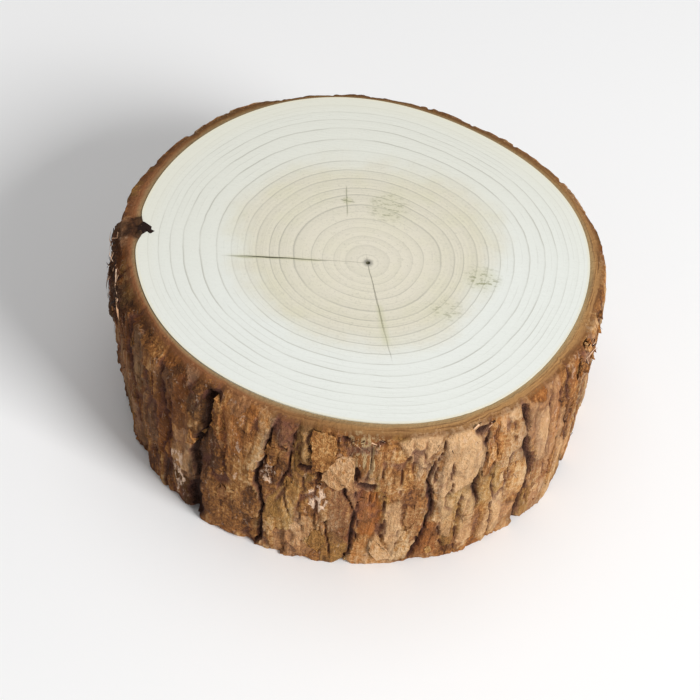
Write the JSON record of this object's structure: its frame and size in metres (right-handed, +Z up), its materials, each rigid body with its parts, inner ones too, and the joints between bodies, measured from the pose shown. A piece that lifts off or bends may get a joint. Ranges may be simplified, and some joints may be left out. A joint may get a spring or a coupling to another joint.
{
  "type": "wood slice",
  "caption": "Thick round slice of a conifer trunk, sawn flat on both faces, with growth rings, drying checks and rough plated bark left on as a rustic stand or trivet.",
  "frame": {"origin": "middle of the flat underside that the slice rests on", "axes": "+Z up, square to the two sawn faces; -Y is the side that faces the viewer in the picture"},
  "size_m": [0.2167, 0.2075, 0.092],
  "materials": {
    "wood": "sawn and sanded matt",
    "bark": "rough, flaky, matt"
  },
  "bodies": {
    "root": {"wood": "wood", "bark": "bark"}
  },
  "joints": []
}
